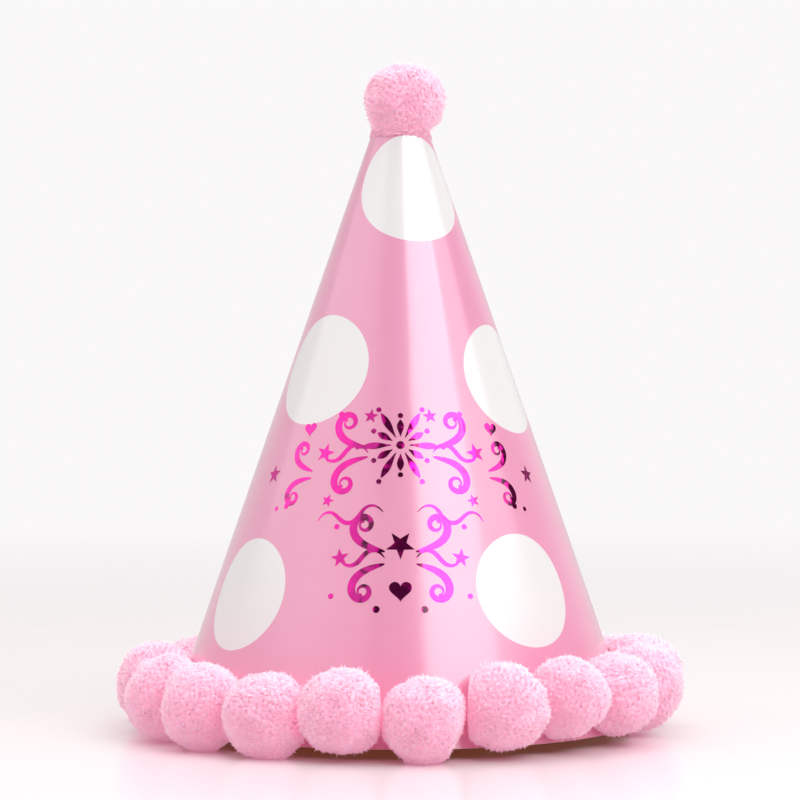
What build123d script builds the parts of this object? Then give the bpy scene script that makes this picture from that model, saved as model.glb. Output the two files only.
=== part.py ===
from build123d import *
from build123d.topology import SkipClean
import math
import os

# Pompom party hat: a rolled card cone with a lapped seam, a pompom on the tip and a ring of pompoms
# round the rim. Millimetres, +Z up. The origin is on the cone's axis, on the surface that the hat
# stands on. The front of the hat faces -Y, and an azimuth is measured from there towards +X.

# Card cone. The slant runs from the apex, where the wall would meet, down to the rim.
RIM_RADIUS = 68.0  # outer radius of the card at its lower edge
APEX_HEIGHT = 196.2  # from the rim up to the apex
TIP_OPENING_RADIUS = 8.0  # outer radius of the card at the cut tip
RIM_LIFT = 3.0  # the pompoms hold the rim this far off the surface
CARD_THICKNESS = 0.4

# Glued seam at the back: the outer end of the sheet steps up and laps over the inner end.
SEAM_AZIMUTH = 180.0
LAP_WIDTH = 10.0
LAP_MAX_ANGLE = 45.0  # the tab narrows to this much of the turn near the tip
STEP_ANGLE = 2.5  # the turn over which the sheet climbs by one thickness
TAPE_THICKNESS = 0.2
TAPE_WIDTH = 6.0
TAPE_END_MARGIN = 5.0  # from the tape's ends to the card's cut edges
TAPE_LANES = 4  # lengthways, to keep the faces of so thin a strip narrow

# Two punched holes for a chin cord, on opposite sides, above gaps between pompoms.
CORD_HOLE_RADIUS = 1.5
CORD_HOLE_RISE = 2.4  # from the top of a pompom that carries the hat up to a hole
PUNCH_LENGTH = 4.0  # of the punch that cuts a hole, centred on the card's face

# Rim pompoms. Each is glued on by hand, so some sit higher than the ones the hat stands on.
POMPOM_COUNT = 20
POMPOM_RADIUS = 12.0
FIRST_AZIMUTH = -85.0
FOOT_SQUASH = 0.4  # how far a pompom that carries the hat is flattened
SEAT_DEPTH = 6.8  # from a pompom's centre to the card
GLUE_FILM = 0.2  # the thinnest glue, over the lapped seam
GLUE_RADIUS = 3.5
NEIGHBOUR_CLEARANCE = 0.12  # between each pompom's side and the plane halfway to the next
LIFTS_FRONT = (2.5, 1.0, 0.0, 0.0, 2.0, 0.0, 2.4, 4.0, 3.0, 3.3)
LIFTS_BACK = (3.0, 1.5, 3.0, 0.0, 0.0, 1.5, 2.0, 0.0, 0.0, 0.0)
LIFTS = LIFTS_FRONT + LIFTS_BACK

# Pompom on the tip, seated in the cut end and held by glue from inside.
TIP_POMPOM_RADIUS = 11.8
TIP_SEAT_CLEARANCE = 0.05
PLUG_TOP_DROP = 1.0  # from the cut tip down to the glue
PLUG_DEPTH = 5.0

# Binding thread that holds each pompom's fibres at its waist, with a tail to the glued side.
THREAD_RADIUS = 0.5
THREAD_LOOP_RADIUS = 1.6

slant_length = math.hypot(RIM_RADIUS, APEX_HEIGHT)
sin_half = RIM_RADIUS / slant_length  # of the cone's half angle
cos_half = APEX_HEIGHT / slant_length
tip_slant = TIP_OPENING_RADIUS / sin_half
apex_z = RIM_LIFT + APEX_HEIGHT
tip_z = apex_z - tip_slant * cos_half
pompom_pitch = 360.0 / POMPOM_COUNT
cord_hole_azimuth = FIRST_AZIMUTH + (POMPOM_COUNT // 2 - 0.5) * pompom_pitch
cord_hole_height = 2 * POMPOM_RADIUS - FOOT_SQUASH + CORD_HOLE_RISE
lap_inner = TAPE_THICKNESS
lap_outer = TAPE_THICKNESS + CARD_THICKNESS
back_gap = CARD_THICKNESS + TAPE_THICKNESS + GLUE_FILM  # from the card to a pompom's flat back
beyond_pompom = 4 * POMPOM_RADIUS  # a length that clears any pompom on every side


def turn_of(azimuth):
    """The turn about +Z, from +X, of an azimuth counted from the front."""
    return azimuth - 90.0


def on_slant(slant, offset=0.0):
    """The point (radius, z) at a distance down the slant, moved outwards from the card's face."""
    radius = slant * sin_half + offset * cos_half
    height = apex_z - slant * cos_half + offset * sin_half
    return radius, height


def layer(inner, outer, top=tip_slant, bottom=slant_length):
    """The cross-section of a layer of the wall between two offsets from the card's face."""
    inner_side = [on_slant(top, inner), on_slant(bottom, inner)]
    outer_side = [on_slant(bottom, outer), on_slant(top, outer)]
    return Plane.XZ * make_face(Polyline(*inner_side, *outer_side, close=True))


def swept(section, start, angle):
    """A cross-section swept about the cone's axis through an angle."""
    return revolve(section, Axis.Z, revolution_arc=angle).rotate(Axis.Z, start)


def seam_strip(near, far):
    """A slab behind the seam, between two widths measured across the lap from the inner end."""
    size = 2 * RIM_RADIUS
    slab = Box(size, far - near, 2 * apex_z, align=(Align.MIN, Align.MIN, Align.CENTER))
    return Pos(0, near, 0) * slab


def cone_frame(azimuth, height):
    """A plane on the card's face at an azimuth and height, with its z axis straight out of the card."""
    slant = (apex_z - height) / cos_half
    radius, level = on_slant(slant)
    turn = math.radians(turn_of(azimuth))
    across = (math.cos(turn), math.sin(turn))
    origin = (radius * across[0], radius * across[1], level)
    outwards = (cos_half * across[0], cos_half * across[1], sin_half)
    return Plane(origin=origin, x_dir=(-across[1], across[0], 0), z_dir=outwards)


def lapped(inner):
    """The tab, from an offset out to its outer face, and the step that climbs to it from the wrap."""
    low = layer(-CARD_THICKNESS, 0).rotate(Axis.Z, -STEP_ANGLE)
    step = loft([low, layer(inner, lap_outer)], ruled=True)
    return step + (swept(layer(inner, lap_outer), 0, LAP_MAX_ANGLE) & seam_strip(-RIM_RADIUS, LAP_WIDTH))


def card_cone():
    """The one sheet of card: the wrap, the step at its outer end, and the tab that laps over its start."""
    wrap = swept(layer(-CARD_THICKNESS, 0), 0, 360 - STEP_ANGLE)
    sheet = (wrap + lapped(lap_inner)).rotate(Axis.Z, turn_of(SEAM_AZIMUTH))
    for azimuth in (cord_hole_azimuth, cord_hole_azimuth - 180):
        punch = Cylinder(CORD_HOLE_RADIUS, PUNCH_LENGTH)
        sheet -= cone_frame(azimuth, cord_hole_height) * punch
    return sheet


def seam_tape():
    """The double-sided tape between the two ends of the sheet: one solid, whose faces are in lanes."""
    band = layer(0, TAPE_THICKNESS, tip_slant + TAPE_END_MARGIN, slant_length - TAPE_END_MARGIN)
    ring = swept(band, 0, LAP_MAX_ANGLE - STEP_ANGLE)
    margin = (LAP_WIDTH - TAPE_WIDTH) / 2
    edges = [margin + TAPE_WIDTH * i / TAPE_LANES for i in range(TAPE_LANES + 1)]
    lanes = [ring & seam_strip(near, far) for near, far in zip(edges, edges[1:])]
    with SkipClean():
        strip = lanes[0].fuse(*lanes[1:])
    return strip.rotate(Axis.Z, turn_of(SEAM_AZIMUTH))


def pompom_azimuth(index):
    return FIRST_AZIMUTH + index * pompom_pitch


def pompom_frame(index):
    """A plane at a pompom's centre, with its z axis straight out of the card."""
    height = POMPOM_RADIUS - FOOT_SQUASH + LIFTS[index % len(LIFTS)]
    seat = cone_frame(pompom_azimuth(index), height - SEAT_DEPTH * sin_half)
    return seat.offset(SEAT_DEPTH)


def thread(tail_length):
    """A loop of binding thread round the fibres, with a tail down to the glued side."""
    loop = Torus(THREAD_LOOP_RADIUS, THREAD_RADIUS)
    tail = Cylinder(THREAD_RADIUS, tail_length, align=(Align.CENTER, Align.CENTER, Align.MAX))
    return loop + Pos(THREAD_LOOP_RADIUS, 0, 0) * tail


def rim_thread(index):
    return pompom_frame(index) * thread(SEAT_DEPTH - back_gap)


def rim_pompom(index):
    """A ball of fibres, flat where it is pressed to the card, to its neighbours and to the surface."""
    span = beyond_pompom
    reach = RIM_RADIUS + span
    half_pitch = math.radians(pompom_pitch / 2)
    nose = NEIGHBOUR_CLEARANCE / math.sin(half_pitch)
    side = (reach - nose) * math.tan(half_pitch)
    room = extrude(make_face(Polyline((nose, 0), (reach, -side), (reach, side), close=True)), span)
    room = room.rotate(Axis.Z, turn_of(pompom_azimuth(index)))
    in_front = Box(span, span, span, align=(Align.CENTER, Align.CENTER, Align.MIN))
    ball = Sphere(POMPOM_RADIUS) & (Pos(0, 0, back_gap - SEAT_DEPTH) * in_front)
    return ((pompom_frame(index) * ball) & room) - rim_thread(index)


def cone_core(offset, top_z, bottom_z):
    """A solid cone out to an offset from the card's face, between two heights."""

    def radius_at(height):
        return (apex_z - height) * sin_half / cos_half + offset / cos_half

    corners = [(0, bottom_z), (radius_at(bottom_z), bottom_z), (radius_at(top_z), top_z), (0, top_z)]
    return swept(Plane.XZ * make_face(Polyline(*corners, close=True)), 0, 360)


def glue_limits():
    """What a dot of glue stops at: the cone's face and the outside of the seam, both taken as solid."""
    seam = lapped(-CARD_THICKNESS).rotate(Axis.Z, turn_of(SEAM_AZIMUTH))
    return cone_core(0, beyond_pompom, -RIM_LIFT) + seam


def rim_glue(index, limits):
    """A dot of hot glue that fills the gap between a pompom's flat back and the card."""
    depth = back_gap + GLUE_RADIUS
    dot = Cylinder(GLUE_RADIUS, depth, align=(Align.CENTER, Align.CENTER, Align.MAX))
    return pompom_frame(index) * Pos(0, 0, back_gap - SEAT_DEPTH) * dot - limits


def tip_pompom_height():
    """Where the tip pompom's centre lies when the ball sits in the card's inner edge."""
    edge_radius, edge_z = on_slant(tip_slant, -CARD_THICKNESS)
    return edge_z + math.sqrt((TIP_POMPOM_RADIUS + TIP_SEAT_CLEARANCE) ** 2 - edge_radius**2)


def tip_ball():
    return Pos(0, 0, tip_pompom_height()) * Sphere(TIP_POMPOM_RADIUS)


def tip_thread():
    return (Pos(0, 0, tip_pompom_height()) * thread(2 * TIP_POMPOM_RADIUS)) & tip_ball()


def tip_glue():
    """The plug of hot glue inside the tip, from the pompom's underside out to the card."""
    plug_top = tip_z - PLUG_TOP_DROP
    return cone_core(-CARD_THICKNESS, plug_top, plug_top - PLUG_DEPTH) - tip_ball()


def write(name, shape):
    export_step(shape, f"parts/{name}.step")
    print(name, "solids", len(shape.solids()), "volume", round(sum(s.volume for s in shape.solids()), 1))


def main():
    os.makedirs("parts", exist_ok=True)
    limits = glue_limits()
    write("card_cone", card_cone())
    write("seam_tape", seam_tape())
    write("tip_pompom", tip_ball() - tip_thread())
    write("tip_pompom_thread", tip_thread())
    write("tip_glue", tip_glue())
    for index in range(POMPOM_COUNT):
        write(f"rim_pompom_{index + 1:02d}", rim_pompom(index))
    write("rim_pompom_threads", Compound([rim_thread(i) for i in range(POMPOM_COUNT)]))
    write("rim_glue_dots", Compound([rim_glue(i, limits) for i in range(POMPOM_COUNT)]))
    print("tip at z", round(tip_z, 2), "pompom centre", round(tip_pompom_height(), 2))
    print("cord holes at azimuth", cord_hole_azimuth, "height", cord_hole_height)


main()
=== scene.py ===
# %% [markdown]
# # A pompom party hat
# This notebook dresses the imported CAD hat. The CAD says where every piece is and how large it is.
# Here each piece gets the shape and finish that the eye expects: printed card with a glossy film,
# stamped foil, and balls of cut fibre. Work from the top down; each cell prints what it made.

# %% Load the frame
import math

import bmesh
import bpy
import numpy as np
from mathutils import Matrix, Vector


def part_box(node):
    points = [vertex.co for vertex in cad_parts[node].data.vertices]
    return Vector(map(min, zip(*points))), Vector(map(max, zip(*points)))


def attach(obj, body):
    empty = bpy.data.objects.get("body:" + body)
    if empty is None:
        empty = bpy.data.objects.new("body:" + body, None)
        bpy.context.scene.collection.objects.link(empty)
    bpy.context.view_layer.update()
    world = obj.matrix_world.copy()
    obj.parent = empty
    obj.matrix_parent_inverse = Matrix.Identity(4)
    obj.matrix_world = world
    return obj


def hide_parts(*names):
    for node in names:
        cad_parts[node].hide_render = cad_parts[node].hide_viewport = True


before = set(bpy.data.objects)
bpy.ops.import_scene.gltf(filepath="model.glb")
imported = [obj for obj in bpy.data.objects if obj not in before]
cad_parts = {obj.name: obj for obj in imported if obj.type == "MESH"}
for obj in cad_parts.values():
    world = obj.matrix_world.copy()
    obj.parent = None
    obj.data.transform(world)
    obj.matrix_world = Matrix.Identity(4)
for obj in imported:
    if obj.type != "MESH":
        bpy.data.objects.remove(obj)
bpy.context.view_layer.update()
scene = bpy.context.scene

# %% [markdown]
# ## Sizes
# The hat is a cone, so a few numbers place everything on it: how wide the rim is, how high the apex
# would be, and how thick the card is. The rim's radius is read from the CAD box, and the rest repeats
# the CAD's own values. Lengths here are metres, as Blender's units are.

# %% Sizes of the cone
MM = 0.001
card_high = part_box("card_cone")[1]
RIM_RADIUS = round(card_high.x, 4)
APEX_HEIGHT = 196.2 * MM  # from the rim to the apex
RIM_LIFT = 3.0 * MM
TIP_RADIUS = 8.0 * MM
CARD_THICKNESS = 0.4 * MM
LAP_RISE = 0.6 * MM  # card and tape together, under the lap's outer face
LAP_WIDTH = 10 * MM
LAP_MAX_ANGLE = math.radians(45)
STEP_ANGLE = math.radians(2.5)

slant_length = math.hypot(RIM_RADIUS, APEX_HEIGHT)
sin_half = RIM_RADIUS / slant_length
cos_half = APEX_HEIGHT / slant_length
tip_slant = TIP_RADIUS / sin_half
apex_z = RIM_LIFT + APEX_HEIGHT
tip_z = apex_z - tip_slant * cos_half
half_angle = math.degrees(math.asin(sin_half))
print("half angle", round(half_angle, 2), "tip at", round(tip_z, 4), "box says", round(card_high.z, 4))

# %% [markdown]
# ## Small helpers
# Four helpers serve the whole file. One turns a hex colour as a designer writes it into the linear
# values that Blender mixes. One adds a shader node with its settings and links, and one starts a
# material. One turns a bmesh into an object that rides on the hat's only body.

# %% Colour, node and piece helpers
def hex_colour(code):
    """An sRGB hex colour as linear red, green and blue, and an alpha of 1."""
    channels = [int(code[i : i + 2], 16) / 255 for i in (1, 3, 5)]
    linear = [c / 12.92 if c <= 0.04045 else ((c + 0.055) / 1.055) ** 2.4 for c in channels]
    return (*linear, 1.0)


def add(tree, kind, inputs=None, **settings):
    """A node with its settings, whose inputs are values or the sockets that feed them."""
    made = tree.nodes.new(kind)
    for name, value in settings.items():
        setattr(made, name, value)
    for key, value in (inputs or {}).items():
        if isinstance(value, bpy.types.NodeSocket):
            tree.links.new(value, made.inputs[key])
        else:
            made.inputs[key].default_value = value
    return made


def new_material(name):
    """A material with its node tree and its Principled shader."""
    material = bpy.data.materials.new(name)
    material.use_nodes = True
    return material, material.node_tree, material.node_tree.nodes["Principled BSDF"]


def as_piece(bm, name, materials):
    """The object made from a bmesh, in place, riding on the hat's body."""
    mesh = bpy.data.meshes.new(name)
    bm.to_mesh(mesh)
    bm.free()
    for material in materials:
        mesh.materials.append(material)
    piece = bpy.data.objects.new(name, mesh)
    scene.collection.objects.link(piece)
    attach(piece, "root")
    print(name, "faces", len(mesh.polygons))
    return piece


print("a mid grey mixes as", [round(v, 3) for v in hex_colour("#808080")])

# %% [markdown]
# ## Camera
# A long lens from 0.9 m shows the hat slightly from above, as it stands on a table. The lens keeps the
# ring of pompoms from looking wide at the front. The camera is turned down by about a degree.

# %% Camera
CAMERA_DISTANCE = 0.9
CAMERA_RISE = math.radians(6.96)
CAMERA_PITCH = math.radians(0.976)
FOCAL_LENGTH = 136.98
FRAME_SHIFT = -0.0006
camera = bpy.data.objects.new("camera", bpy.data.cameras.new("camera"))
scene.collection.objects.link(camera)
camera.data.lens = FOCAL_LENGTH
camera.data.sensor_width = 36
camera.data.clip_start = 0.05
camera.data.shift_x = FRAME_SHIFT
camera_height = RIM_LIFT + CAMERA_DISTANCE * math.sin(CAMERA_RISE)
camera.location = (0, -CAMERA_DISTANCE * math.cos(CAMERA_RISE), camera_height)
camera.rotation_euler = (math.pi / 2 - CAMERA_PITCH, 0, 0)
scene.camera = camera
print("camera at", [round(v, 3) for v in camera.location])

# %% [markdown]
# ## Table
# The hat stands on a white glossy table that runs into a white background. The table is a wide plate
# with a little gloss, so that it mirrors the pompoms faintly. A studio hides the far edge of a table in
# a curved backdrop; here the plate fades out with its distance from the hat, which leaves no horizon.
# It isn't part of the hat.

# %% Table
TABLE_HALF = 1.5
FADE_START, FADE_END = 0.22, 1.1
WEAR_WIDTH = 50 * MM
table_top, tree, shader = new_material("glossed_white_table")
place = add(tree, "ShaderNodeTexCoord").outputs["Object"]
wear = add(tree, "ShaderNodeTexNoise", {"Vector": place, "Scale": 1 / WEAR_WIDTH, "Detail": 4})
gloss = add(tree, "ShaderNodeMapRange", {"Value": wear.outputs["Fac"], "To Min": 0.18, "To Max": 0.21})
tree.links.new(gloss.outputs["Result"], shader.inputs["Roughness"])
away = add(tree, "ShaderNodeVectorMath", {0: place}, operation="LENGTH")
fade = add(
    tree,
    "ShaderNodeMapRange",
    {"Value": away.outputs["Value"], "From Min": FADE_START, "From Max": FADE_END, "To Min": 1, "To Max": 0},
    interpolation_type="SMOOTHSTEP",
)
tree.links.new(fade.outputs["Result"], shader.inputs["Alpha"])
shader.inputs["Base Color"].default_value = hex_colour("#E3DFE1")
bm = bmesh.new()
bmesh.ops.create_grid(bm, x_segments=1, y_segments=1, size=TABLE_HALF)
table_mesh = bpy.data.meshes.new("table")
bm.to_mesh(table_mesh)
bm.free()
table_mesh.materials.append(table_top)
table = bpy.data.objects.new("table", table_mesh)
scene.collection.objects.link(table)
print("table", 2 * TABLE_HALF, "m wide")

# %% [markdown]
# ## Light
# A studio lights gloss by choosing what it mirrors. A softbox at the front right draws one long
# highlight down the cone, and a weaker one beside it lets that highlight fade to the right instead of
# ending in a line. A wide white panel at the left, a bright room behind and a white ceiling fill the
# rest. A low panel at the right lifts the shaded flank; it stands too low for the foil to mirror it.
# The room at the front right stays dim, which gives the foil its dark parts.

# %% Softboxes
AIM_HEIGHT = 0.09  # about half-way up the hat


def softbox(name, azimuth, elevation, distance, width, height, power):
    """An area light that faces the hat, from an azimuth counted from the front towards +X."""
    light = bpy.data.lights.new(name, "AREA")
    light.shape = "RECTANGLE"
    light.size, light.size_y, light.energy = width, height, power
    turn, rise = math.radians(azimuth), math.radians(elevation)
    back = Vector((math.sin(turn) * math.cos(rise), -math.cos(turn) * math.cos(rise), math.sin(rise)))
    lamp = bpy.data.objects.new(name, light)
    scene.collection.objects.link(lamp)
    lamp.location = Vector((0, 0, AIM_HEIGHT)) + back * distance
    lamp.rotation_euler = back.to_track_quat("Z", "Y").to_euler()
    lamp.visible_camera = False
    print(name, "at", [round(v, 2) for v in lamp.location], power, "W")


# Azimuth and elevation in degrees; distance, width and height in metres; power in watts.
softbox("softbox_right", 37, 37, 1.1, 0.80, 0.62, 6.8)
softbox("panel_left", -68, 33, 1.0, 1.75, 0.45, 1.75)
softbox("softbox_side", 76, 37, 1.1, 0.60, 0.62, 1.9)
softbox("low_fill_right", 78, 4, 1.3, 1.4, 0.30, 2.8)

# %% The room
DIM_SIDE = math.radians(38)  # the azimuth of the unlit part of the room
DIM_LEVEL, BRIGHT_LEVEL, CEILING_LEVEL = 0.06, 0.72, 1.75
BACKGROUND_LEVEL = 0.955  # as the camera sees it
world = bpy.data.worlds.new("bright_room")
scene.world = world
world.use_nodes = True
tree = world.node_tree
tree.nodes.clear()
direction = add(tree, "ShaderNodeTexCoord")
parts = add(tree, "ShaderNodeSeparateXYZ", {"Vector": direction.outputs["Generated"]})
bright_side = add(
    tree,
    "ShaderNodeVectorMath",
    {0: direction.outputs["Generated"], 1: (-math.sin(DIM_SIDE), math.cos(DIM_SIDE), 0)},
    operation="DOT_PRODUCT",
)
behind = add(
    tree,
    "ShaderNodeMapRange",
    {
        "Value": bright_side.outputs["Value"],
        "From Min": -0.45,
        "From Max": 0.3,
        "To Min": DIM_LEVEL,
        "To Max": BRIGHT_LEVEL,
    },
    interpolation_type="SMOOTHSTEP",
)
ceiling = add(
    tree,
    "ShaderNodeMapRange",
    {"Value": parts.outputs["Z"], "From Min": 0.62, "From Max": 0.92, "To Min": 0, "To Max": CEILING_LEVEL},
    interpolation_type="SMOOTHSTEP",
)
both = {0: behind.outputs["Result"], 1: ceiling.outputs["Result"]}
level = add(tree, "ShaderNodeMath", both, operation="ADD")
room = add(tree, "ShaderNodeBackground", {"Color": hex_colour("#FFFBFA"), "Strength": level.outputs["Value"]})
seen = add(tree, "ShaderNodeBackground", {"Color": hex_colour("#FFFDFE"), "Strength": BACKGROUND_LEVEL})
ray = add(tree, "ShaderNodeLightPath")
mixed = add(
    tree,
    "ShaderNodeMixShader",
    {0: ray.outputs["Is Camera Ray"], 1: room.outputs["Background"], 2: seen.outputs["Background"]},
)
add(tree, "ShaderNodeOutputWorld", {"Surface": mixed.outputs["Shader"]})
scene.view_settings.view_transform = "Standard"
print("room levels", DIM_LEVEL, BRIGHT_LEVEL, CEILING_LEVEL)

# %% [markdown]
# ## The card, as a flat sheet
# The real cone starts as a flat sector of card: printed, laminated, punched and then rolled. It could
# be spun as a surface, but then the print would have nothing flat to be laid out on. So a grid is laid
# out as the sector, punched while it is flat, and its flat place is kept as its UV map, in metres.
# The grid has columns for the wrap, a few for the step at its end, and a few for the tab that laps.

# %% Lay out the sector
ROWS = 72
WRAP_COLUMNS = 240
STEP_COLUMNS = 4
TAB_COLUMNS = 6
COLUMNS = WRAP_COLUMNS + STEP_COLUMNS + TAB_COLUMNS
FULL_TURN = 2 * math.pi


def tab_angle(slant):
    """The turn that the tab covers at a slant distance, for a tab of even width."""
    reach = LAP_WIDTH / (slant * sin_half)
    return min(LAP_MAX_ANGLE, math.asin(reach) if reach < 1 else LAP_MAX_ANGLE)


def column_turn(column, slant):
    """The turn about the hat at which a column of the sheet lies, from the sheet's inner end."""
    if column <= WRAP_COLUMNS:
        return (FULL_TURN - STEP_ANGLE) * column / WRAP_COLUMNS
    if column <= WRAP_COLUMNS + STEP_COLUMNS:
        return FULL_TURN - STEP_ANGLE + STEP_ANGLE * (column - WRAP_COLUMNS) / STEP_COLUMNS
    return FULL_TURN + tab_angle(slant) * (column - WRAP_COLUMNS - STEP_COLUMNS) / TAB_COLUMNS


def flat_point(slant, turn):
    """Where a point of the cone lies on the flat sheet, with the apex at the origin."""
    swing = (turn - math.pi) * sin_half
    return Vector((slant * math.sin(swing), -slant * math.cos(swing), 0))


sheet = bmesh.new()
bmesh.ops.create_grid(sheet, x_segments=COLUMNS, y_segments=ROWS, size=0.5)
for vert in sheet.verts:
    slant = tip_slant + (slant_length - tip_slant) * (0.5 - vert.co.y)
    vert.co = flat_point(slant, column_turn(round((vert.co.x + 0.5) * COLUMNS), slant))
print("sector", len(sheet.faces), "faces, across", round(2 * math.degrees(math.pi * sin_half), 1), "degrees")

# %% [markdown]
# ## Punching
# Two holes for a chin cord are punched while the card is flat. To punch a grid, take out the faces
# round one vertex, cut the edges of the opening finely, and move them out to a circle.

# %% Punch the cord holes
HOLE_RADIUS = 1.5 * MM
HOLE_Z = 26 * MM
HOLE_AZIMUTHS = (86, -94)  # degrees
HOLE_CUTS = 3


def punch(bm, centre, radius):
    """Opens a round hole in a flat grid."""
    middle = min(bm.verts, key=lambda vert: (vert.co - centre).length)
    doomed = list(middle.link_faces)
    rim = {edge for face in doomed for edge in face.edges if middle not in edge.verts}
    bmesh.ops.delete(bm, geom=[middle], context="VERTS")
    cut = bmesh.ops.subdivide_edges(bm, edges=list(rim), cuts=HOLE_CUTS)
    ring = {item for item in cut["geom"] if isinstance(item, bmesh.types.BMVert)}
    ring |= {vert for item in cut["geom"] if isinstance(item, bmesh.types.BMEdge) for vert in item.verts}
    ring = [vert for vert in ring if vert.is_boundary]
    for vert in ring:
        vert.co = centre + (vert.co - centre).normalized() * radius
    around = list({face for vert in ring for face in vert.link_faces})
    bmesh.ops.triangulate(bm, faces=around)
    return len(ring)


for azimuth in HOLE_AZIMUTHS:
    slant = (apex_z - HOLE_Z) / cos_half
    spot = flat_point(slant, math.radians(azimuth) + math.pi)
    print("hole at", azimuth, "with", punch(sheet, spot, HOLE_RADIUS), "corners")

# %% [markdown]
# ## Rolling
# Rolling bends the sheet without stretching it. A point's distance from the apex stays, and its swing
# on the flat sheet becomes a turn about the hat. The outer end climbs over the inner end by the
# thickness of the card and its tape, in a short soft step. The same function rolls the foil later.

# %% Roll the sheet into the cone
def lap_offset(turn):
    """How far the sheet stands off the cone at a turn, with a soft step up to the lap."""
    share = min(1.0, max(0.0, (turn - FULL_TURN + STEP_ANGLE) / STEP_ANGLE))
    return LAP_RISE * share * share * (3 - 2 * share)


def rolled(flat, offset=0.0):
    """A flat point rolled onto the cone, moved out from the card's face."""
    slant = math.hypot(flat.x, flat.y)
    turn = math.pi + math.atan2(flat.x, -flat.y) / sin_half
    out = offset + lap_offset(turn)
    radius = slant * sin_half + out * cos_half
    azimuth = turn - math.pi
    height = apex_z - slant * cos_half + out * sin_half
    return Vector((radius * math.sin(azimuth), -radius * math.cos(azimuth), height))


uv_layer = sheet.loops.layers.uv.new("sheet")
for face in sheet.faces:
    face.smooth = True
    for loop in face.loops:
        loop[uv_layer].uv = loop.vert.co.xy
for vert in sheet.verts:
    vert.co = rolled(vert.co)
sheet.normal_update()
front = min(sheet.faces, key=lambda face: face.calc_center_median().y)
print("front face looks along", [round(v, 2) for v in front.normal])

# %% [markdown]
# ## Printed and laminated card
# The outside is a pink offset print with dots of bare white board, under a clear glossy film. The film
# gives the long soft highlight, and as the card under it isn't quite even, it ripples a little. The
# dots are discs on the flat sheet: each is every point within a radius of its centre in the UV map.
# The print doesn't quite meet at the glued lap, as is usual on such hats: a dot that crosses it is
# printed at both ends of the sheet, a little out.

# %% Dots of the print
DOT_RADIUS = 16.5 * MM
DOT_EDGE = 0.06 * MM
# Slant distance in millimetres and azimuth in degrees of each dot's centre.
FRONT_DOTS = [(43.2, 16), (98.7, -46), (101.6, 62.5), (166, -54.6), (164.1, 41)]
BACK_DOTS = [(138, 109), (138, -111), (103, 148), (103, -132), (172, 147), (172, -134)]
LAP_DOTS = [(62, 190), (62, -171.5), (138, 186), (138, -175.5)]
DOTS = FRONT_DOTS + BACK_DOTS + LAP_DOTS

laminated_print, tree, shader = new_material("laminated_gloss_print")
sheet_uv = add(tree, "ShaderNodeUVMap", uv_map="sheet")
dots = None
for slant_mm, azimuth in DOTS:
    centre = flat_point(slant_mm * MM, math.radians(azimuth) + math.pi)
    away = add(tree, "ShaderNodeVectorMath", {0: sheet_uv.outputs["UV"], 1: centre}, operation="DISTANCE")
    disc = add(
        tree,
        "ShaderNodeMapRange",
        {
            "Value": away.outputs["Value"],
            "From Min": DOT_RADIUS,
            "From Max": DOT_RADIUS + DOT_EDGE,
            "To Min": 1,
            "To Max": 0,
        },
    )
    if dots is None:
        dots = disc.outputs["Result"]
    else:
        either = {0: dots, 1: disc.outputs["Result"]}
        dots = add(tree, "ShaderNodeMath", either, operation="MAXIMUM").outputs[0]
print("dots", len(DOTS))

# %% Ink, film and fibre of the printed card
FIBRE = 0.5 * MM
RIPPLE = 14 * MM
POLYESTER_IOR = 1.6
place = add(tree, "ShaderNodeTexCoord").outputs["Object"]
clouding = add(tree, "ShaderNodeTexNoise", {"Vector": place, "Scale": 1 / RIPPLE, "Detail": 3})
ink = add(
    tree,
    "ShaderNodeMix",
    {"Factor": clouding.outputs["Fac"], "A": hex_colour("#DD91B0"), "B": hex_colour("#E098B6")},
    data_type="RGBA",
)
printed = add(
    tree,
    "ShaderNodeMix",
    {"Factor": dots, "A": ink.outputs["Result"], "B": hex_colour("#E1DFDF")},
    data_type="RGBA",
)
tree.links.new(printed.outputs["Result"], shader.inputs["Base Color"])
fibre = add(tree, "ShaderNodeTexNoise", {"Vector": place, "Scale": 1 / FIBRE, "Detail": 2})
film = add(tree, "ShaderNodeMapRange", {"Value": fibre.outputs["Fac"], "To Min": 0.27, "To Max": 0.30})
tree.links.new(film.outputs["Result"], shader.inputs["Roughness"])
fine = add(tree, "ShaderNodeBump", {"Height": fibre.outputs["Fac"], "Strength": 0.012, "Distance": 0.03 * MM})
broad = add(
    tree,
    "ShaderNodeBump",
    {
        "Height": clouding.outputs["Fac"],
        "Strength": 0.2,
        "Distance": 0.2 * MM,
        "Normal": fine.outputs["Normal"],
    },
)
tree.links.new(broad.outputs["Normal"], shader.inputs["Normal"])
tree.links.new(broad.outputs["Normal"], shader.inputs["Coat Normal"])
shader.inputs["Coat Weight"].default_value = 1.0
shader.inputs["Coat Roughness"].default_value = 0.16
shader.inputs["Coat IOR"].default_value = POLYESTER_IOR
print("print material nodes", len(tree.nodes))

# %% [markdown]
# The inside is the board's bare brown kraft back, which warms the shadow under the rim. The cut edge
# shows the bleached core as a fine pale line. Both are paper: rough, and mottled by fibres about half a
# millimetre long. The plies in the edge are finer than that.

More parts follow.
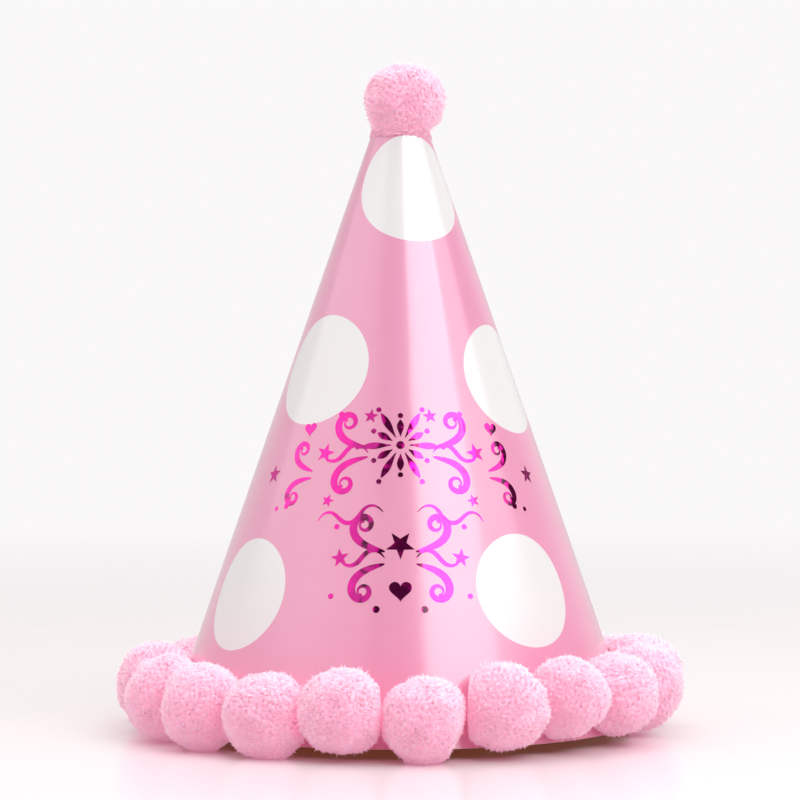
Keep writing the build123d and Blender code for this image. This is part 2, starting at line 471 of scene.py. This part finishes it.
# %% Kraft back and cut edge
PLY = 0.2 * MM
kraft_back, tree, shader = new_material("uncoated_kraft_back")
place = add(tree, "ShaderNodeTexCoord").outputs["Object"]
fibre = add(tree, "ShaderNodeTexNoise", {"Vector": place, "Scale": 1 / FIBRE, "Detail": 5})
tone = add(
    tree,
    "ShaderNodeMix",
    {"Factor": fibre.outputs["Fac"], "A": hex_colour("#CF9A75"), "B": hex_colour("#E4B692")},
    data_type="RGBA",
)
tree.links.new(tone.outputs["Result"], shader.inputs["Base Color"])
tooth = add(tree, "ShaderNodeBump", {"Height": fibre.outputs["Fac"], "Strength": 0.4, "Distance": 0.05 * MM})
tree.links.new(tooth.outputs["Normal"], shader.inputs["Normal"])
shader.inputs["Roughness"].default_value = 0.9
# Card this thin lets some light through. A weak brown glow stands for it.
shader.inputs["Emission Color"].default_value = hex_colour("#7A4A38")
shader.inputs["Emission Strength"].default_value = 0.3

cut_edge, tree, shader = new_material("guillotined_card_edge")
place = add(tree, "ShaderNodeTexCoord").outputs["Object"]
plies = add(tree, "ShaderNodeTexNoise", {"Vector": place, "Scale": 1 / PLY, "Detail": 3})
core = add(
    tree,
    "ShaderNodeMix",
    {"Factor": plies.outputs["Fac"], "A": hex_colour("#E9D9D6"), "B": hex_colour("#FBF4F0")},
    data_type="RGBA",
)
tree.links.new(core.outputs["Result"], shader.inputs["Base Color"])
shader.inputs["Roughness"].default_value = 0.85
print("card materials", [material.name for material in (laminated_print, kraft_back, cut_edge)])

# %% [markdown]
# The rolled sheet gets its thickness inwards, because the print is the face that was laid out. The
# modifier is applied, so that the cut edges can be marked sharp and keep a crisp line.

# %% Give the card its thickness
SHARP_ANGLE = math.radians(35)
cone = as_piece(sheet, "printed_cone", [laminated_print, kraft_back, cut_edge])
wall = cone.modifiers.new("thickness", "SOLIDIFY")
wall.thickness = CARD_THICKNESS
wall.offset = -1
wall.material_offset = 1
wall.material_offset_rim = 2
solid = bpy.data.meshes.new_from_object(cone.evaluated_get(bpy.context.evaluated_depsgraph_get()))
cone.modifiers.clear()
cone.data = solid
bm = bmesh.new()
bm.from_mesh(solid)
for edge in bm.edges:
    edge.smooth = edge.calc_face_angle(0) < SHARP_ANGLE
bm.to_mesh(solid)
bm.free()
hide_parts("card_cone")
print("cone faces", len(solid.polygons))

# %% [markdown]
# ## Foil ornament
# Hot stamping presses a metallised film onto the print with a heated die. It lies flat and mirrors
# whatever the cone faces, so one stroke can run from bright to dark. It is thicker here than a real
# film and stands a hair off the print, so that it is a closed solid which doesn't sink into the card.
# Curves could come from a curve object, but a pen is closer: a short edge, the nib, is extruded along
# a path and turned and widened on the way. The path of a curl winds up tighter and tighter. Stars and
# hearts are circles whose corners are moved, and drops are plain discs. It is plain festive ornament:
# a firework with mirrored curls on both sides, and a smaller group below.

# %% A nib that draws
CURL_STEPS = 90
WINDING = 2.4  # how late a curl winds up
# The breadth at a curl's ends and the radius of the drop there, as shares of its breadth.
CURL_END, CURL_DROP = 0.16, 0.26
# A firework's rays and the sparks at their ends, as shares of its outer radius.
SHORT_RAY, RAY_BREADTH, RAY_END = 0.68, 0.18, 0.02
SPARK_GAP, SPARK_RADIUS = 0.11, 0.07
RAY_BROADEST = 0.6  # a ray is broadest at this share of its length
RAY_STEPS = 12
HUB_SHARE = 0.45  # the middle disc, as a share of where the rays start


def curl_path(length, turns, handed):
    """Points and headings of a curl: it sets off straight and winds up tighter and tighter."""
    point, heading, path = Vector((0, 0, 0)), 0.0, []
    for index in range(CURL_STEPS + 1):
        path.append((point.copy(), heading))
        heading = handed * turns * FULL_TURN * (index / CURL_STEPS) ** WINDING
        point += Vector((math.cos(heading), math.sin(heading), 0)) * length / CURL_STEPS
    return path


def streamer_path(length, waves, swing):
    """Points and headings of a paper streamer that waves about its own x axis."""
    point, path = Vector((0, 0, 0)), []
    for index in range(CURL_STEPS + 1):
        heading = swing * math.cos(FULL_TURN * waves * index / CURL_STEPS)
        path.append((point.copy(), heading))
        point += Vector((math.cos(heading), math.sin(heading), 0)) * length / CURL_STEPS
    return path


def draw_stroke(bm, path, place, broad, thin, broadest=0.4):
    """Extrudes the nib along a path, thin at both ends and broadest at a share of its length."""
    edge = None
    for index, (point, heading) in enumerate(path):
        share = (index / (len(path) - 1)) ** (math.log(0.5) / math.log(broadest))
        width = thin + (broad - thin) * math.sin(math.pi * share)
        across = Vector((-math.sin(heading), math.cos(heading), 0)) * width / 2
        ends = [place @ (point - across), place @ (point + across)]
        if edge is None:
            edge = bm.edges.new([bm.verts.new(end) for end in ends])
            continue
        ahead = bmesh.ops.extrude_edge_only(bm, edges=[edge])["geom"]
        edge = next(item for item in ahead if isinstance(item, bmesh.types.BMEdge))
        for vert, end in zip([item for item in ahead if isinstance(item, bmesh.types.BMVert)], ends):
            vert.co = end


def draw_disc(bm, place, radius, segments=20):
    """A filled disc."""
    bmesh.ops.create_circle(bm, cap_ends=True, radius=radius, segments=segments, matrix=place)


def draw_star(bm, place, radius, points=5, waist=0.42):
    """A star, from a circle with every other corner pulled in towards the middle."""
    corners = bmesh.ops.create_circle(bm, cap_ends=True, radius=radius, segments=2 * points)["verts"]
    for index, vert in enumerate(corners):
        if index % 2:
            vert.co *= waist
    bmesh.ops.transform(bm, matrix=place, verts=corners)


def draw_heart(bm, place, size):
    """A heart, from a circle whose corners follow the usual heart formula."""
    corners = bmesh.ops.create_circle(bm, cap_ends=True, radius=1, segments=40)["verts"]
    for vert in corners:
        turn = math.atan2(vert.co.x, vert.co.y)
        top = 13 * math.cos(turn) - 5 * math.cos(2 * turn) - 2 * math.cos(3 * turn) - math.cos(4 * turn)
        vert.co = Vector((16 * math.sin(turn) ** 3, top, 0)) * size / 32
    bmesh.ops.transform(bm, matrix=place, verts=corners)


def draw_curl(bm, place, length, turns, handed, broad):
    """A curl with a small disc where it ends, like the drop of ink that a pen leaves."""
    path = curl_path(length, turns, handed)
    draw_stroke(bm, path, place, broad, CURL_END * broad)
    draw_disc(bm, place @ Matrix.Translation(path[-1][0]), CURL_DROP * broad, 14)


def draw_burst(bm, place, inner, outer, rays):
    """A firework: long and short tapered rays round a small disc."""
    for index in range(rays):
        turn = Matrix.Rotation(FULL_TURN * index / rays, 4, "Z")
        reach = outer if index % 2 else SHORT_RAY * outer
        heights = [inner + (reach - inner) * step / RAY_STEPS for step in range(RAY_STEPS + 1)]
        path = [(Vector((0, height, 0)), math.pi / 2) for height in heights]
        draw_stroke(bm, path, place @ turn, RAY_BREADTH * outer, RAY_END * outer, RAY_BROADEST)
        spark = Matrix.Translation((0, reach + SPARK_GAP * outer, 0))
        draw_disc(bm, place @ turn @ spark, SPARK_RADIUS * outer, 12)
    draw_disc(bm, place, HUB_SHARE * inner)


print("a curl has", CURL_STEPS + 1, "points")

# %% Lay the ornament out on the flat sheet
def on_sheet(slant_mm, azimuth, tilt=0):
    """A place on the flat sheet with its y axis towards the apex, tilted by some degrees."""
    spot = flat_point(slant_mm * MM, math.radians(azimuth) + math.pi)
    swing = math.radians(azimuth) * sin_half
    return Matrix.Translation(spot) @ Matrix.Rotation(swing + math.radians(tilt), 4, "Z")


foil = bmesh.new()
STREAMER_SWING = 0.9  # the steepest heading of a streamer, in radians
STREAMER_END = 0.2 * MM
# Both halves of the ornament mirror each other, so each row is drawn once for either side.
# Slant in mm, azimuth, tilt, length in mm, turns, which way it curls, breadth in mm.
CURLS = [
    (122.0, 13, 14, 27, 1.35, 1, 2.2),
    (124.5, 13, -14, 27, 1.35, -1, 2.2),
    (129.0, 36, 16, 21, 1.30, 1, 1.9),
    (131.0, 36, -10, 21, 1.30, -1, 1.9),
    (152.0, 5, 16, 27, 1.40, 1, 2.3),
    (155.5, 5, -16, 27, 1.40, -1, 2.3),
]
# Slant in mm, azimuth, tilt, length in mm, waves, breadth in mm.
STREAMERS = [(140.5, 6, -6, 24, 1.5, 1.3), (123.3, 13, 0, 17, 1.0, 1.4), (153.8, 5, 0, 16, 1.0, 1.4)]
# Slant in mm, azimuth, tilt, and radius or size in mm.
STARS = [
    (123.6, 31.5, 10, 3.0),
    (130.5, 57.5, -8, 2.9),
    (137.5, 27, 14, 2.0),
    (112.5, 13, 6, 2.2),
    (154, 19.5, -12, 2.8),
]
HEARTS = [(116.5, 42, -8, 4.4)]
# Slant in mm, azimuth and radius in mm.
DROPS = [(139.5, 45, 0.9), (140.5, 50, 0.7), (168.5, 7, 1.0), (145, 22, 0.8), (165, 21, 0.8), (112, 27, 0.8)]
for side in (1, -1):
    flip = Matrix.Scale(side, 4, Vector((1, 0, 0)))
    for slant_mm, azimuth, tilt, length, turns, handed, broad in CURLS:
        draw_curl(foil, flip @ on_sheet(slant_mm, azimuth, tilt), length * MM, turns, handed, broad * MM)
    for slant_mm, azimuth, tilt, length, waves_along, broad in STREAMERS:
        path = streamer_path(length * MM, waves_along, STREAMER_SWING)
        draw_stroke(foil, path, flip @ on_sheet(slant_mm, azimuth, tilt), broad * MM, STREAMER_END, 0.5)
    for slant_mm, azimuth, tilt, radius in STARS:
        draw_star(foil, flip @ on_sheet(slant_mm, azimuth, tilt), radius * MM)
    for slant_mm, azimuth, tilt, size in HEARTS:
        draw_heart(foil, flip @ on_sheet(slant_mm, azimuth, tilt), size * MM)
    for slant_mm, azimuth, radius in DROPS:
        draw_disc(foil, flip @ on_sheet(slant_mm, azimuth), radius * MM)
draw_burst(foil, on_sheet(121, 0), inner=2.6 * MM, outer=11 * MM, rays=12)
draw_star(foil, on_sheet(150, 0, tilt=180), radius=4.2 * MM)
draw_heart(foil, on_sheet(163, 0), size=6.4 * MM)
print("foil faces, flat", len(foil.faces))

# %% [markdown]
# Flat shapes with few faces would cut into the cone when they are rolled. So the ornament is first
# sliced into narrow strips, as a ruler would score it, and then every corner is rolled onto the card.

# %% Score and roll the foil
SCORE = 0.8 * MM
FOIL_LIFT = 0.02 * MM
FOIL_THICKNESS = 0.03 * MM
WELD = 1e-7  # corners nearer than this to a score line are on it
foil.normal_update()
bmesh.ops.reverse_faces(foil, faces=[face for face in foil.faces if face.normal.z < 0])
bmesh.ops.triangulate(foil, faces=foil.faces)
reach = max(abs(vert.co.x) for vert in foil.verts)
for index in range(-int(reach / SCORE), int(reach / SCORE) + 1):
    everything = [*foil.verts, *foil.edges, *foil.faces]
    cut_at = (index * SCORE, 0, 0)
    bmesh.ops.bisect_plane(foil, geom=everything, plane_co=cut_at, plane_no=(1, 0, 0), dist=WELD)
for vert in foil.verts:
    vert.co = rolled(vert.co, FOIL_LIFT + FOIL_THICKNESS)
foil.normal_update()
bmesh.ops.solidify(foil, geom=foil.faces, thickness=FOIL_THICKNESS)
print("foil reaches", round(reach, 4), "m to each side, faces", len(foil.faces))

# %% [markdown]
# Foil is metal, so its colour is in its mirror. A dyed lacquer over aluminium gives magenta. It takes
# on the card's slight tooth, which softens the mirror a little and breaks its edges, and the card's
# broad swell of some millimetres, which makes light and dark run through one stroke.

# %% Stamped foil
FOIL_TOOTH = 1.5 * MM
CARD_SWELL = 5 * MM
stamped_foil, tree, shader = new_material("hot_stamped_magenta_foil")
place = add(tree, "ShaderNodeTexCoord").outputs["Object"]
tooth = add(tree, "ShaderNodeTexNoise", {"Vector": place, "Scale": 1 / FOIL_TOOTH, "Detail": 3})
lacquer = add(
    tree,
    "ShaderNodeMix",
    {"Factor": tooth.outputs["Fac"], "A": hex_colour("#E0149A"), "B": hex_colour("#EA1CA2")},
    data_type="RGBA",
)
tree.links.new(lacquer.outputs["Result"], shader.inputs["Base Color"])
swell = add(tree, "ShaderNodeTexNoise", {"Vector": place, "Scale": 1 / CARD_SWELL, "Detail": 1})
waved = add(tree, "ShaderNodeBump", {"Height": swell.outputs["Fac"], "Strength": 0.9, "Distance": 0.6 * MM})
dents = add(
    tree,
    "ShaderNodeBump",
    {
        "Height": tooth.outputs["Fac"],
        "Strength": 0.10,
        "Distance": 0.05 * MM,
        "Normal": waved.outputs["Normal"],
    },
)
tree.links.new(dents.outputs["Normal"], shader.inputs["Normal"])
shader.inputs["Metallic"].default_value = 1.0
shader.inputs["Roughness"].default_value = 0.12
shader.inputs["Coat Weight"].default_value = 0.7
shader.inputs["Coat Roughness"].default_value = 0.08
ornament = as_piece(foil, "foil_ornament", [stamped_foil])

# %% [markdown]
# Foil lies on a smooth cone, but its faces are flat and would show as ribs in so sharp a mirror. So the
# normals of its outer and inner faces are set to the cone's own, and its thin edges keep theirs.

# %% Give the foil the cone's normals
FLAT_FACING = 0.7  # faces that look this much along the cone's normal are not edges


def cone_normal(point):
    """Which way the cone's face looks at a point."""
    across = Vector((point.x, point.y, 0)).normalized()
    return across * cos_half + Vector((0, 0, sin_half))


mesh = ornament.data
smooth_normals = []
for polygon in mesh.polygons:
    polygon.use_smooth = True
    for index in polygon.vertices:
        along = cone_normal(mesh.vertices[index].co)
        facing = polygon.normal.dot(along)
        if abs(facing) <= FLAT_FACING:
            smooth_normals.append(polygon.normal)
        else:
            smooth_normals.append(math.copysign(1, facing) * along)
mesh.normals_split_custom_set(smooth_normals)
print("foil normals", len(smooth_normals))

# %% [markdown]
# ## Pompoms
# A craft pompom is a bundle of acrylic fibres tied at the waist and trimmed round. What shows is
# thousands of cut ends. Hair particles would show them, but they aren't a mesh that can be reused. So a
# fine icosphere is poked: every face gets a point at its middle, which is pulled out into a spike. All
# spikes share their feet, so the ball is one closed skin of fibre tufts.

# %% One ball of tufts
BALL_SUBDIVISIONS = 6
template = bmesh.new()
bmesh.ops.create_icosphere(template, subdivisions=BALL_SUBDIVISIONS, radius=1.0)
feet = len(template.verts)
bmesh.ops.poke(template, faces=template.faces)
tuft_mesh = bpy.data.meshes.new("tufts")
template.to_mesh(tuft_mesh)
template.free()
directions = np.empty(len(tuft_mesh.vertices) * 3, np.float32)
tuft_mesh.vertices.foreach_get("co", directions)
directions = directions.reshape(-1, 3).astype(float)
directions /= np.linalg.norm(directions, axis=1, keepdims=True)
is_tip = np.arange(len(directions)) >= feet
print("tufts", int(is_tip.sum()), "triangles", len(tuft_mesh.polygons))

# %% [markdown]
# No two pompoms are alike. Each gets its own broad lumps, its own clumps of fibre, and its own lean.
# The lumps come from a few sine waves in random directions, which is a cheap smooth noise. Fibre ends
# in one clump lean together, because the lean follows such a noise too. Where the ball meets a
# neighbour, the card or the table, its fibres bend flat: points past that plane are laid onto it.

# %% Shape a pompom
# Lengths here are shares of a pompom's radius, apart from PRESSED_DEPTH.
ROOT_SHARE = 0.970  # how far out the feet of the tufts are
TRIM_SPREAD = 0.013  # how unevenly their ends are trimmed
STRAY_LEAST, STRAY_MOST = 0.02, 0.10  # how much further a stray fibre reaches
STRETCH = 0.03  # how far a ball may be from round
BROAD_LUMP, SMALL_LUMP, CLUMP_HEIGHT = 0.040, 0.018, 0.004
CLUMP_LEAN, FIBRE_LEAN = 0.016, 0.013
# The width of one wave and the number of waves in each smooth noise.
BROAD_WAVES, SMALL_WAVES = (1.7, 7), (0.55, 9)
CLUMP_WAVES, LEAN_WAVES = (0.11, 24), (0.12, 12)
STRAY_SHARE = 0.02  # of all fibres
SHADE_MIDDLE, SHADE_BY_CLUMP, SHADE_SPREAD = 0.45, 0.28, 0.16
PRESSED_DEPTH = 0.1 * MM  # how unevenly fibres end on a flat


def waves(points, wavelength, count, rng):
    """Smooth noise of about unit size at some points: a sum of sine waves in random directions."""
    total = np.zeros(len(points))
    for _ in range(count):
        way = rng.normal(size=3)
        way *= 2 * math.pi / wavelength / np.linalg.norm(way)
        total += np.sin(points @ way + rng.uniform(0, 2 * math.pi))
    return total * math.sqrt(2 / count)


def pompom_points(centre, radius, planes, seed):
    """The feet and ends of a pompom's tufts, and each end's own shade."""
    rng = np.random.default_rng(seed)
    stretch = 1 + rng.uniform(-STRETCH, STRETCH, 3)
    lumps = 1 + BROAD_LUMP * waves(directions, *BROAD_WAVES, rng)
    lumps += SMALL_LUMP * waves(directions, *SMALL_WAVES, rng)
    clumps = waves(directions, *CLUMP_WAVES, rng)
    trim = rng.normal(0, TRIM_SPREAD, len(directions))
    stray = rng.random(len(directions)) < STRAY_SHARE
    longer = stray * rng.uniform(STRAY_LEAST, STRAY_MOST, len(directions))
    reach = np.where(is_tip, 1.0 + trim + longer, ROOT_SHARE)
    points = directions * stretch * (lumps * reach + CLUMP_HEIGHT * clumps)[:, None] * radius
    lean = np.stack([waves(directions, *LEAN_WAVES, rng) for _ in range(3)], 1) * CLUMP_LEAN
    lean += rng.normal(0, FIBRE_LEAN, points.shape)
    points[is_tip] += lean[is_tip] * radius
    points += np.array(centre)
    for normal, distance in planes:
        beyond = points @ np.array(normal) - distance
        uneven = rng.uniform(0, PRESSED_DEPTH, len(points))
        points -= np.maximum(beyond + uneven, 0)[:, None] * np.array(normal)
    shades = SHADE_MIDDLE + SHADE_BY_CLUMP * clumps + rng.normal(0, SHADE_SPREAD, len(directions))
    return points, np.clip(shades, 0, 1)


print("a tuft is about", round(math.sqrt(4 * math.pi / is_tip.sum()), 4), "of the radius wide")

# %% [markdown]
# ## Acrylic pile
# Dyed acrylic is matt and lets light through. The feet of the tufts are painted a deeper, warmer pink.
# That is painted shade between the tufts, and the tint of light that has passed through more pink fibre
# there, while the cut ends are pale. One attribute marks the ends, another gives each end its shade, and
# the shader reads both. Some light scatters under the surface, and a little sheen stands for the fine
# fuzz at the outline. Bright pink dyes are often fluorescent: they turn some of the light's blue into
# pink, and a weak glow stands for that. The glow is even all over, so it also brightens the gaps and
# the shaded undersides, which is painted light.

# %% Pile material
acrylic_pile, tree, shader = new_material("cut_acrylic_pile")
out = add(tree, "ShaderNodeAttribute", attribute_name="fibre_end")
shade = add(tree, "ShaderNodeAttribute", attribute_name="fibre_shade")
pile = add(
    tree,
    "ShaderNodeMix",
    {"Factor": shade.outputs["Fac"], "A": hex_colour("#FFB0CD"), "B": hex_colour("#FFD2E4")},
    data_type="RGBA",
)
# The deeper pink at the feet of the tufts is painted shade between them. The pale cut ends are the tips.
pile_with_painted_shade = add(
    tree,
    "ShaderNodeMix",
    {"Factor": out.outputs["Fac"], "A": hex_colour("#FFA9C6"), "B": pile.outputs["Result"]},
    data_type="RGBA",
)
tree.links.new(pile_with_painted_shade.outputs["Result"], shader.inputs["Base Color"])
shader.inputs["Roughness"].default_value = 0.95
shader.inputs["Specular IOR Level"].default_value = 0.2
shader.inputs["Sheen Weight"].default_value = 0.15
shader.inputs["Sheen Roughness"].default_value = 0.6
shader.inputs["Sheen Tint"].default_value = hex_colour("#FFE3EE")
shader.inputs["Subsurface Weight"].default_value = 0.7
# A weak pink glow, even all over. It stands for fluorescence, and it is also painted light that fills the
# gaps and shaded undersides.
shader.inputs["Emission Color"].default_value = hex_colour("#FFAACB")
shader.inputs["Emission Strength"].default_value = 0.33
shader.inputs["Subsurface Radius"].default_value = (1.0, 0.6, 0.7)
shader.inputs["Subsurface Scale"].default_value = 1.8 * MM
print("pile material nodes", len(tree.nodes))

# %% Make a pompom
def make_pompom(name, centre, radius, planes, seed, node):
    """A pompom's object, in place of its CAD ball."""
    points, shades = pompom_points(centre, radius, planes, seed)
    mesh = tuft_mesh.copy()
    mesh.name = name
    mesh.vertices.foreach_set("co", points.astype(np.float32).ravel())
    for attribute, values in (("fibre_end", is_tip), ("fibre_shade", shades)):
        layer = mesh.attributes.new(attribute, "FLOAT", "POINT")
        layer.data.foreach_set("value", values.astype(np.float32))
    mesh.polygons.foreach_set("use_smooth", np.ones(len(mesh.polygons), bool))
    mesh.materials.append(acrylic_pile)
    mesh.update()
    piece = bpy.data.objects.new(name, mesh)
    scene.collection.objects.link(piece)
    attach(piece, "root")
    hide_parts(node)
    return piece


print("each pompom has", len(tuft_mesh.vertices), "points")

# %% [markdown]
# ## The ring of pompoms
# Twenty pompoms stand round the rim, each glued to the card. The CAD balls say how high each one sits.
# A pompom may touch four things: its two neighbours, the card behind it and the table.

# %% Set the ring
POMPOM_COUNT = 20
POMPOM_RADIUS = 12 * MM
FIRST_AZIMUTH = math.radians(-85)
PITCH = FULL_TURN / POMPOM_COUNT
SEAT_DEPTH = 6.8 * MM  # from the card's face to a ball's centre
BACK_GAP = 0.8 * MM  # between the card's face and the fibres, filled with glue
NEIGHBOUR_CLEARANCE = 0.12 * MM
RING_SEED = 100
# A few pompoms are smaller than the rest: their numbers, and their share of the full size.
SIZES = {8: 0.95, 9: 0.97, 14: 0.96, 17: 0.98}
# Between two pompoms the flat leans by some degrees, because one bulges in front of the other.
BULGES = (-14, 16, 18, -12, 10, -22, 15, -16, -20, 12, -15, 18, -10, 14, -18, 12, 16, -14, 10, -12)


def across_from(azimuth):
    """The level direction in which the card faces at an azimuth."""
    return Vector((math.sin(azimuth), -math.cos(azimuth), 0))


def contact(index, way):
    """The plane at which a pompom meets the next one (way 1), or the next one meets it (way -1)."""
    between = FIRST_AZIMUTH + (index + 0.5) * PITCH
    middle = across_from(between) * (RIM_RADIUS + SEAT_DEPTH) * math.cos(PITCH / 2)
    facing = between + math.radians(BULGES[index])
    normal = Vector((math.cos(facing), math.sin(facing), 0)) * way
    return normal, normal.dot(middle) - NEIGHBOUR_CLEARANCE


for index in range(POMPOM_COUNT):
    node = f"rim_pompom_{index + 1:02d}"
    azimuth = FIRST_AZIMUTH + index * PITCH
    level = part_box(node)[1].z - POMPOM_RADIUS
    outwards = across_from(azimuth) * cos_half + Vector((0, 0, sin_half))
    seat_z = level - SEAT_DEPTH * sin_half
    seat = across_from(azimuth) * (apex_z - seat_z) * sin_half / cos_half + Vector((0, 0, seat_z))
    centre = seat + outwards * SEAT_DEPTH
    sides = [contact(index, 1), contact(index - 1, -1)]
    card_side = (-outwards, -(seat + outwards * BACK_GAP).dot(outwards))
    table_side = (Vector((0, 0, -1)), 0.0)
    radius = POMPOM_RADIUS * SIZES.get(index + 1, 1.0)
    planes = [*sides, card_side, table_side]
    make_pompom(f"pompom_{index + 1:02d}", centre, radius, planes, RING_SEED + index, node)
print("ring of", POMPOM_COUNT)

# %% [markdown]
# ## The pompom on the tip
# It sits in the cut end of the cone. Its lower fibres are tucked inside the card, and the ones above
# spill over the edge a little, which hides the cut.

# %% Set the tip pompom
TIP_POMPOM_RADIUS = 11.8 * MM
TIP_SAG = 0.7 * MM  # how much lower it sits than the CAD ball
TIP_LEAN = 1.4 * MM  # it was glued on a little to the right
SPILL_SHARE = 0.60  # fibres that start further out than this share of the opening hang outside
SKIRT_CLEARANCE = 0.12 * MM  # from the card's outer face to the fibres that hang outside
DRAPE = 0.45 * MM  # how much further those stand off at the card's edge
ROOT_DRAPE = 0.6  # the share of that by which their feet stand off
EDGE_CLEARANCE = 0.05 * MM  # from the card's inner face to the fibres tucked inside
FLUFF = 1.01  # the fibres reach a little past the CAD ball
TIP_SEED = 60
tip_centre = Vector((TIP_LEAN, 0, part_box("tip_pompom")[1].z - TIP_POMPOM_RADIUS - TIP_SAG))
tip_pompom = make_pompom("pompom_tip", tip_centre, FLUFF * TIP_POMPOM_RADIUS, [], TIP_SEED, "tip_pompom")
lowest = min(vert.co.z for vert in tip_pompom.data.vertices)
for vert, at_end in zip(tip_pompom.data.vertices, is_tip):
    outside = (apex_z - vert.co.z) * sin_half / cos_half
    inside = outside - CARD_THICKNESS / cos_half - EDGE_CLEARANCE
    level = math.hypot(vert.co.x, vert.co.y)
    if vert.co.z > tip_z or level == 0:
        continue
    depth = DRAPE * (vert.co.z - lowest) / (tip_z - lowest) * (1.0 if at_end else ROOT_DRAPE)
    hangs = level > SPILL_SHARE * outside
    wanted = max(level, outside + SKIRT_CLEARANCE + depth) if hangs else min(level, inside)
    vert.co.x *= wanted / level
    vert.co.y *= wanted / level
tip_pompom.data.update()
print("tip pompom at", round(tip_centre.z, 4))

# %% [markdown]
# ## Glue, tape and thread
# These small pieces keep their CAD shapes, which are right. Set hot glue is cloudy and a little glossy.
# The tape is hidden in the lap, so its clear film is shown as a pale opaque one. The thread that ties
# the fibres is twisted, so it has pale and darker bands.

# %% Finishes of the hidden pieces
GLUE_CLOUD = 2 * MM
TAPE_SCRIM = 0.8 * MM
# A thread's real strands lie half a millimetre apart or less. They are drawn coarser: a diagonal wave
# of this scale has its bands 3.6 mm apart.
TWIST_SCALE = 100
set_glue, tree, shader = new_material("set_hot_glue")
place = add(tree, "ShaderNodeTexCoord").outputs["Object"]
cloud = add(tree, "ShaderNodeTexNoise", {"Vector": place, "Scale": 1 / GLUE_CLOUD, "Detail": 2})
tone = add(
    tree,
    "ShaderNodeMix",
    {"Factor": cloud.outputs["Fac"], "A": hex_colour("#E3DAC8"), "B": hex_colour("#F6F0E4")},
    data_type="RGBA",
)
tree.links.new(tone.outputs["Result"], shader.inputs["Base Color"])
shader.inputs["Roughness"].default_value = 0.35
shader.inputs["Subsurface Weight"].default_value = 0.4
shader.inputs["Subsurface Scale"].default_value = 1 * MM

seam_film, tree, shader = new_material("clear_double_sided_tape")
place = add(tree, "ShaderNodeTexCoord").outputs["Object"]
scrim = add(tree, "ShaderNodeTexNoise", {"Vector": place, "Scale": 1 / TAPE_SCRIM, "Detail": 4})
tone = add(
    tree,
    "ShaderNodeMix",
    {"Factor": scrim.outputs["Fac"], "A": hex_colour("#E4DFD2"), "B": hex_colour("#F2EEE4")},
    data_type="RGBA",
)
tree.links.new(tone.outputs["Result"], shader.inputs["Base Color"])
shader.inputs["Roughness"].default_value = 0.3

tied_thread, tree, shader = new_material("twisted_binding_thread")
place = add(tree, "ShaderNodeTexCoord").outputs["Object"]
twist = add(
    tree,
    "ShaderNodeTexWave",
    {"Vector": place, "Scale": TWIST_SCALE, "Distortion": 1.5},
    bands_direction="DIAGONAL",
)
strands = add(
    tree,
    "ShaderNodeMix",
    {"Factor": twist.outputs["Fac"], "A": hex_colour("#D8C6C8"), "B": hex_colour("#F7EEEE")},
    data_type="RGBA",
)
tree.links.new(strands.outputs["Result"], shader.inputs["Base Color"])
shader.inputs["Roughness"].default_value = 0.8

FINISHES = {
    "rim_glue_dots": set_glue,
    "tip_glue": set_glue,
    "seam_tape": seam_film,
    "rim_pompom_threads": tied_thread,
    "tip_pompom_thread": tied_thread,
}
for node, material in FINISHES.items():
    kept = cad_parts[node]
    kept.data.materials.clear()
    kept.data.materials.append(material)
print("finished", sorted(FINISHES))
